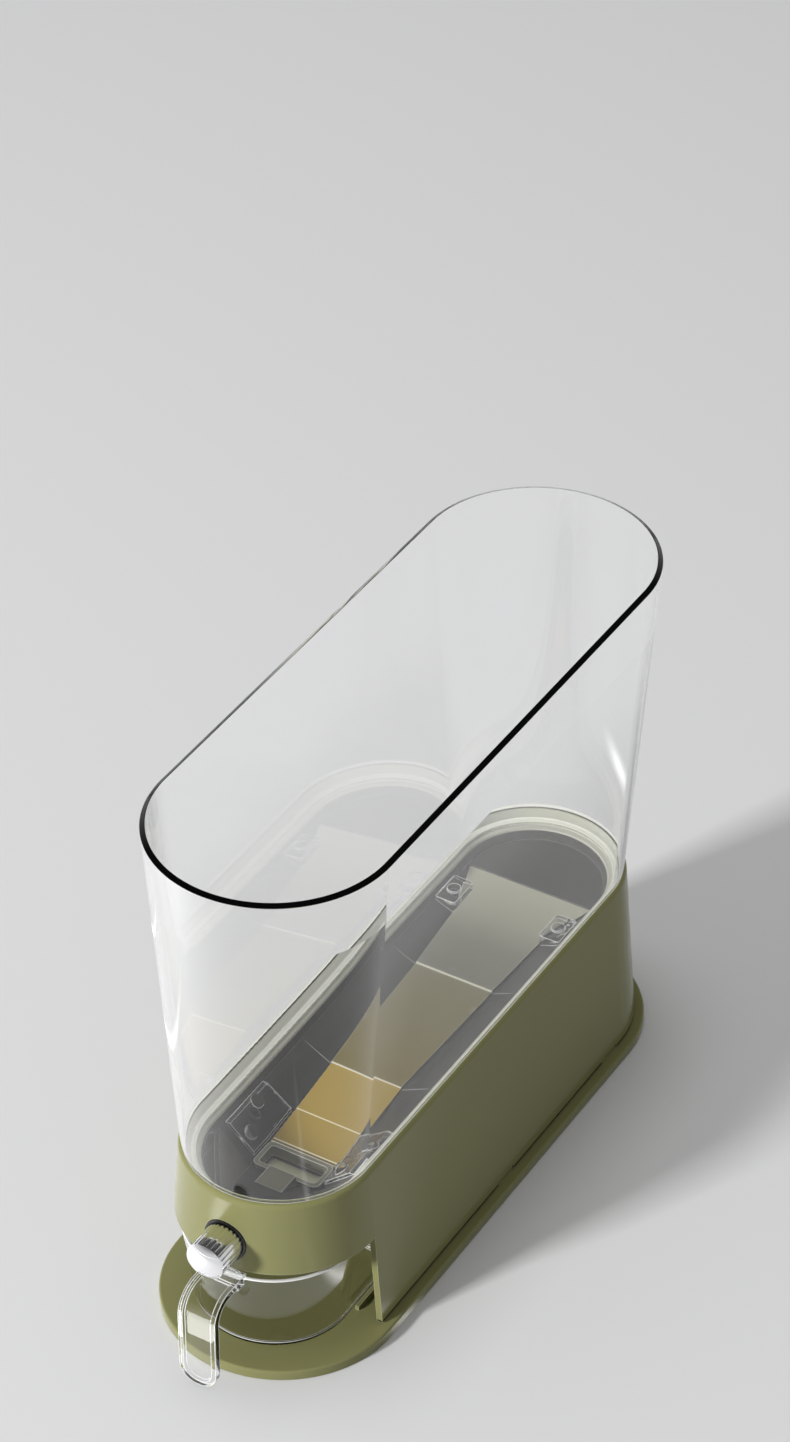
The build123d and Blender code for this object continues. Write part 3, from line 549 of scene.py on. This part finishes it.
def dress(node, finish):
    """Gives a frame node its material."""
    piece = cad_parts[node]
    if piece.data.materials:
        piece.data.materials[0] = finish
    else:
        piece.data.materials.append(finish)


# ---------------------------------------------------------------- shape tools
def rounded(corners, steps):
    """Closed polyline of (across, up) points from corners (across, up, rounding)."""
    most = 0.49     # share of a side that one rounding may take
    points = []
    count = len(corners)
    for i, (x, z, radius) in enumerate(corners):
        here = Vector((x, z))
        before = Vector(corners[i - 1][:2]) - here
        after = Vector(corners[(i + 1) % count][:2]) - here
        angle = before.angle(after)
        reach = radius / tan(angle / 2)
        reach = min(reach, before.length * most, after.length * most)
        true_radius = reach * tan(angle / 2)
        middle = here + (before.normalized() + after.normalized()).normalized() * (
            true_radius / sin(angle / 2)
        )
        start = here + before.normalized() * reach - middle
        end = here + after.normalized() * reach - middle
        turn = start.angle_signed(end)
        for k in range(steps + 1):
            a = -turn * k / steps
            points.append(tuple(middle + Matrix.Rotation(a, 2) @ start))
    return points


def plan(radius, steps):
    """Closed plan of the body at a radius round its two end centres."""
    points = []
    for centre, start in ((half_straight, 0), (-half_straight, 180)):
        for k in range(steps + 1):
            a = radians(start + 180 * k / steps)
            points.append((radius * cos(a), centre + radius * sin(a)))
    return points


def swept_shell(name, section, steps, beads):
    """Shell whose section (radius, height) runs round the plan; beads take a second finish."""
    form = bmesh.new()
    rings = []
    for radius, z in section:
        ring = [form.verts.new((x * MM, y * MM, z * MM)) for x, y in plan(radius, steps)]
        rings.append(ring)
    count = len(rings[0])
    for i, low in enumerate(rings):
        high = rings[(i + 1) % len(rings)]
        for k in range(count):
            face = form.faces.new((low[k], low[(k + 1) % count], high[(k + 1) % count], high[k]))
            face.material_index = 1 if i in beads else 0
    return finish_mesh(name, form)


def coil(name, radius, wire, turns, front, rear, height):
    """Wire wound about a line along Y at a height, from front to rear."""
    turn_steps, wire_steps = 24, 8
    along = Vector((0, 1, 0))
    form = bmesh.new()
    rings = []
    count = turns * turn_steps
    for i in range(count + 1):
        turn = 2 * pi * i / turn_steps
        out = Vector((cos(turn), 0, sin(turn)))
        middle = radius * out + Vector((0, front + (rear - front) * i / count, height))
        ring = []
        for k in range(wire_steps):
            angle = 2 * pi * k / wire_steps
            point = middle + wire / 2 * (cos(angle) * out + sin(angle) * along)
            ring.append(form.verts.new(point * MM))
        rings.append(ring)
    for near, far in zip(rings, rings[1:]):
        for k in range(wire_steps):
            after = (k + 1) % wire_steps
            form.faces.new((near[k], near[after], far[after], far[k]))
    form.faces.new(rings[0])
    form.faces.new(rings[-1])
    return finish_mesh(name, form, 60.0)


def finish_mesh(name, form, sharp=35.0):
    """Object from a bmesh, with smooth faces and sharp edges past an angle."""
    bmesh.ops.recalc_face_normals(form, faces=form.faces)
    mesh = bpy.data.meshes.new(name)
    form.to_mesh(mesh)
    form.free()
    mesh.shade_smooth()
    mesh.set_sharp_from_angle(angle=radians(sharp))
    piece = bpy.data.objects.new(name, mesh)
    bpy.context.scene.collection.objects.link(piece)
    even = piece.modifiers.new("even_shading", "WEIGHTED_NORMAL")
    even.keep_sharp = True
    return piece


def place(piece, finishes, body, slot, *nodes):
    """Gives a made piece its materials and body, and hides the nodes it stands for. The slot is not
    used.
    """
    for finish in finishes:
        piece.data.materials.append(finish)
    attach(piece, body)
    if nodes:
        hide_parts(*nodes)
    return piece


def light_only(lamp, name, pieces):
    """Lets a lamp light these pieces alone."""
    lit = bpy.data.collections.new(name)
    for piece in pieces:
        lit.objects.link(piece)
    lamp.light_linking.receiver_collection = lit


# ---------------------------------------------------------------- operators
class DISPENSER_OT_stage(bpy.types.Operator):
    """Floor, lamps, world and camera"""

    bl_idname = "dispenser.stage"
    bl_label = "Stage"

    # painted glow of the floor in glossy rays, also through the clear walls
    floor_glow = 0.05      # what the clear walls take from the floor behind them
    # glowing patches painted on the floor, as painted reflections that only reflections see:
    # x, y, half length, half width (m), angle (degrees), glow
    patches = (
        (-0.42, -0.40, 0.60, 0.60, 0, 3.0),
        (0.10, -0.17, 0.26, 0.014, -60, 4.0),
        (-0.26, -0.14, 0.24, 0.012, 75, 2.6),
        (-0.31, 0.02, 0.20, 0.009, 58, 2.2),
        (0.165, 0.385, 0.05, 0.006, 47, 3.5),
    )
    world_light = 0.27
    horizon, overhead = 0.1, 0.45     # heights between which the backdrop darkens
    overhead_grey = 0.07
    # place, aim, width, height (m), power (W), whether it only shines in reflections
    lights = {
        "key": ((-2.7, -6.3, 2.8), (0, 0, 0.1), 0.9, 0.9, 625, False),
        "fill": ((-1.0, 0.0, 5.0), (0, 0, 0), 3.5, 3.5, 96, False),
        "front_card": ((-0.062, -0.325, 0.002), (-0.062, -0.325, 1), 0.1, 0.11, 0.28, True),
        "bead_light": ((2.2, 0.3, 2.2), (0, 0, 0.12), 0.8, 0.8, 60, False),
    }
    lens_length, lens_sensor = 114.17, 36.0     # mm
    camera_place = (1.0718, -1.8010, 1.9407)
    camera_aim = (-0.2322, 0.3683, 0.0)

    def execute(self, context):
        scene = context.scene
        scene.view_settings.view_transform = "Standard"
        self.floor()
        self.world(scene)
        for name, values in self.lights.items():
            self.lamp(scene, name, *values)
        carded = [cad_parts[node] for node in ("housing_shell", "drawer_handle")]
        light_only(bpy.data.objects["front_card"], "lit_by_front_card", carded)
        self.camera(scene)
        return {"FINISHED"}

    def floor(self):
        form = bmesh.new()
        bmesh.ops.create_grid(form, x_segments=8, y_segments=8, size=12.0)
        ground = finish_mesh("floor", form)
        finish, tree, shader = new_finish("floor_pale")
        shader.inputs["Base Color"].default_value = (*colours().floor, 1)
        shader.inputs["Roughness"].default_value = 0.7
        shader.inputs["Specular IOR Level"].default_value = 0.1
        self.reflection_glow(tree, shader)
        finish.cycles.emission_sampling = "NONE"
        ground.data.materials.append(finish)

    def reflection_glow(self, tree, shader):
        """Glow painted on the floor: patches that only reflections see, and an even glow that
        glossy rays see.
        """
        place = tree.nodes.new("ShaderNodeTexCoord")
        total = 0.0
        for x, y, half_length, half_width, angle, glow in self.patches:
            spot = tree.nodes.new("ShaderNodeMapping")
            spot.vector_type = "TEXTURE"
            spot.inputs["Location"].default_value = (x, y, 0)
            spot.inputs["Rotation"].default_value = (0, 0, radians(angle))
            spot.inputs["Scale"].default_value = (half_length, half_width, 1)
            tree.links.new(place.outputs["Object"], spot.inputs["Vector"])
            fade = tree.nodes.new("ShaderNodeTexGradient")
            fade.gradient_type = "QUADRATIC_SPHERE"
            tree.links.new(spot.outputs["Vector"], fade.inputs["Vector"])
            total = maths(tree, "MULTIPLY_ADD", fade.outputs["Fac"], glow, total)
        path = tree.nodes.new("ShaderNodeLightPath")
        reflected = path.outputs["Is Reflection Ray"]
        seen = tree.nodes.new("ShaderNodeEmission")
        tree.links.new(
            maths(tree, "MULTIPLY_ADD", total, reflected, self.floor_glow), seen.inputs["Strength"])
        both = tree.nodes.new("ShaderNodeAddShader")
        tree.links.new(shader.outputs["BSDF"], both.inputs[0])
        tree.links.new(seen.outputs["Emission"], both.inputs[1])
        surface = mixed_shader(
            tree, path.outputs["Is Glossy Ray"], shader.outputs["BSDF"], both.outputs["Shader"])
        tree.links.new(surface, tree.nodes["Material Output"].inputs["Surface"])

    def world(self, scene):
        """Plain white light, seen as a backdrop in the floor's colour that darkens overhead."""
        world = bpy.data.worlds.new("studio")
        scene.world = world
        world.use_nodes = True
        tree = world.node_tree
        lit = tree.nodes["Background"]
        lit.inputs["Color"].default_value = (1.0, 1.0, 1.0, 1)
        lit.inputs["Strength"].default_value = self.world_light
        seen = tree.nodes.new("ShaderNodeBackground")
        seen.inputs["Strength"].default_value = 1.0
        ramp = tree.nodes.new("ShaderNodeValToRGB")
        tree.links.new(coordinate(tree, "Z", "Generated"), ramp.inputs["Fac"])
        tree.links.new(ramp.outputs["Color"], seen.inputs["Color"])
        stops = ramp.color_ramp.elements
        stops[0].position = self.horizon
        stops[0].color = (*colours().floor, 1)
        stops[1].position = self.overhead
        stops[1].color = (self.overhead_grey, self.overhead_grey, self.overhead_grey, 1)
        path = tree.nodes.new("ShaderNodeLightPath")
        looked_at = maths(
            tree, "MAXIMUM", path.outputs["Is Camera Ray"], path.outputs["Is Glossy Ray"])
        looked_at = maths(tree, "MAXIMUM", looked_at, path.outputs["Is Transmission Ray"])
        surface = mixed_shader(
            tree, looked_at, lit.outputs["Background"], seen.outputs["Background"])
        tree.links.new(surface, tree.nodes["World Output"].inputs["Surface"])

    def lamp(self, scene, name, spot, aim, width, height, power, shine):
        light = bpy.data.lights.new(name, "AREA")
        light.shape = "RECTANGLE"
        light.size = width
        light.size_y = height
        light.energy = power
        lamp = bpy.data.objects.new(name, light)
        scene.collection.objects.link(lamp)
        lamp.location = spot
        lamp.rotation_euler = (Vector(aim) - Vector(spot)).to_track_quat("-Z", "Y").to_euler()
        lamp.visible_camera = False
        lamp.visible_transmission = False
        lamp.visible_glossy = shine
        lamp.visible_diffuse = not shine

    def camera(self, scene):
        lens = bpy.data.cameras.new("camera")
        lens.sensor_width = self.lens_sensor
        lens.lens = self.lens_length
        view = bpy.data.objects.new("camera", lens)
        scene.collection.objects.link(view)
        view.location = self.camera_place
        aim = Vector(self.camera_aim) - view.location
        view.rotation_euler = aim.to_track_quat("-Z", "Y").to_euler()
        scene.camera = view


class DISPENSER_OT_housing(bpy.types.Operator):
    """Foot, housing and the pads and screws under them"""

    bl_idname = "dispenser.housing"
    bl_label = "Housing"

    # height of the painted shade along the housing's lower edge
    joint_shade_height = 2.2     # dark lower edge of the housing, above the foot

    def execute(self, context):
        dress("foot_tray", olive_finish("olive_foot_gloss"))
        joint_shade_top = housing_low[2] + self.joint_shade_height
        dress("housing_shell", olive_finish("olive_housing_gloss", joint_shade_top))
        dress("anti_slip_pads", rubber_finish())
        dress("housing_screws", steel_finish())
        return {"FINISHED"}


class DISPENSER_OT_hopper(bpy.types.Operator):
    """Hopper, ramp panels, outlet and gate, with their fixings"""

    bl_idname = "dispenser.hopper"
    bl_label = "Hopper"

    def execute(self, context):
        dress("hopper_tray", hopper_finish())
        dress("rice_slide", slide_finish())
        dress("lower_chute", chute_finish())
        dress("outlet_frame", smoky_finish())
        dress("rod_channel", smoky_finish())
        dress("screw_covers", edged_clear_finish())
        dress("hopper_screws", steel_finish())
        dress("gate_guide", hopper_finish())
        dress("guide_screws", steel_finish())
        dress("gate_plate", gate_finish())
        return {"FINISHED"}


class DISPENSER_OT_knob(bpy.types.Operator):
    """Knob, its collar, and the rod that joins it to the gate"""

    bl_idname = "dispenser.knob"
    bl_label = "Knob"

    def execute(self, context):
        dress("knob_collar", dark_finish())
        dress("knob_sleeve", chrome_finish())
        dress("knob_cap", chrome_finish())
        dress("push_rod", steel_finish())
        dress("rod_clip", steel_finish())
        return {"FINISHED"}


class DISPENSER_OT_spring(bpy.types.Operator):
    """Return spring, which the pressed knob squeezes against the rod channel"""

    bl_idname = "dispenser.spring"
    bl_label = "Return spring"

    turns = 8
    wire = 0.9

    def execute(self, context):
        low, high = span("return_spring")
        radius = (high[0] - low[0] - self.wire) / 2
        height = (high[2] + low[2]) / 2
        front, rear = low[1] + self.wire / 2, high[1] - self.wire / 2
        piece = coil("spring_coil", radius, self.wire, self.turns, front, rear, height)
        place(piece, [steel_finish()], "body", "spring_steel", "return_spring")
        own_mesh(piece)
        return {"FINISHED"}


class DISPENSER_OT_bin(bpy.types.Operator):
    """Clear bin with its thick rim, and its seal"""

    bl_idname = "dispenser.bin"
    bl_label = "Bin"

    neck_gap = 4.4          # neck's side, inside the housing's upper edge
    foot_gap = 1.4          # foot of the flared wall, inside the same edge
    floor_ring = 5.8        # width of the ring left round the opening in the floor
    floor_height = 2.4      # thickness of that ring
    bowl_inset = 3.2        # start of the bowl, inside the neck's side
    bowl_height = 9.0       # height over which the bowl rises to the wall
    seat_gap = 0.4          # wall's foot, above the housing's upper edge
    corner_steps = 6        # segments in each rounded corner of the section
    bead_corners = (1, 3, 8, 9)   # corners of the section with the pale bead finish, a painted highlight
    bead_faces = (1, 8)           # faces after these corners that take it too

    def execute(self, context):
        shell = swept_shell("bin_shell", self.section(), sizes().round_steps, self.beads())
        place(shell, (clear_finish(), bead_finish()), "bin", "clear_plastic", "clear_bin")
        light_only(bpy.data.objects["bead_light"], "lit_by_bead_light", [shell])
        dress("bin_seal", seal_finish())
        return {"FINISHED"}

    def section(self):
        """Closed section of the wall, from the floor's opening up the outside and back down."""
        size = sizes()
        top = bin_high[2]
        rim = bin_high[0]
        edge = housing_high[0] - size.housing_lean     # radius of the housing's upper edge
        low = housing_high[2] + self.seat_gap
        foot = edge - self.foot_gap
        neck = edge - self.neck_gap
        flare = (rim - foot) / (top - low)
        bowl_low = bin_low[2] + self.floor_height
        bowl_top = bowl_low + self.bowl_height
        taper_low = top - size.rim_taper

        def inner_at(z):
            return foot + flare * (z - low) - size.wall

        # radius, height, rounding
        corners = (
            (neck - self.floor_ring, bin_low[2], 0.5),
            (neck, bin_low[2], 0.8),
            (neck, low, 0.4),
            (foot, low, 1.6),
            (rim, top - size.rim_slope, size.rim_corner),
            (rim - size.rim_width, top, size.rim_corner),
            (inner_at(taper_low), taper_low, 6.0),
            (inner_at(bowl_top), bowl_top, 4.0),
            (neck - self.bowl_inset, bowl_low, 1.5),
            (neck - self.floor_ring, bowl_low, 0.5),
        )
        return rounded(corners, self.corner_steps)

    def beads(self):
        """Steps of the section that take the second finish."""
        last = self.corner_steps
        each = last + 1
        rounds = [corner * each + k for corner in self.bead_corners for k in range(last)]
        faces = [corner * each + last for corner in self.bead_faces]
        return rounds + faces


class DISPENSER_OT_drawer(bpy.types.Operator):
    """Clear cup and its handle"""

    bl_idname = "dispenser.drawer"
    bl_label = "Drawer"

    def execute(self, context):
        dress("drawer_cup", cup_finish())
        dress("drawer_handle", edged_clear_finish())
        return {"FINISHED"}


class DISPENSER_PT_panel(bpy.types.Panel):
    """Sizes, colours and making of the dispenser"""

    bl_idname = "DISPENSER_PT_panel"
    bl_label = "Rice dispenser"
    bl_space_type = "VIEW_3D"
    bl_region_type = "UI"
    bl_category = "Rice dispenser"

    def draw(self, context):
        layout = self.layout
        for group in (context.scene.dispenser_sizes, context.scene.dispenser_colours):
            for name in group.bl_rna.properties.keys():
                if name not in ("rna_type", "name"):
                    layout.prop(group, name)
        for step in steps:
            layout.operator(step.bl_idname)


steps = (
    DISPENSER_OT_stage,
    DISPENSER_OT_housing,
    DISPENSER_OT_hopper,
    DISPENSER_OT_knob,
    DISPENSER_OT_spring,
    DISPENSER_OT_bin,
    DISPENSER_OT_drawer,
)
classes = (DispenserSizes, DispenserColours, *steps, DISPENSER_PT_panel)


def register():
    for cls in classes:
        bpy.utils.register_class(cls)
    bpy.types.Scene.dispenser_sizes = PointerProperty(type=DispenserSizes)
    bpy.types.Scene.dispenser_colours = PointerProperty(type=DispenserColours)


def unregister():
    del bpy.types.Scene.dispenser_colours
    del bpy.types.Scene.dispenser_sizes
    for cls in reversed(classes):
        bpy.utils.unregister_class(cls)


def main():
    register()
    bpy.ops.dispenser.stage()
    bpy.ops.dispenser.housing()
    bpy.ops.dispenser.hopper()
    bpy.ops.dispenser.knob()
    bpy.ops.dispenser.spring()
    bpy.ops.dispenser.bin()
    bpy.ops.dispenser.drawer()


if __name__ == "__main__":
    main()
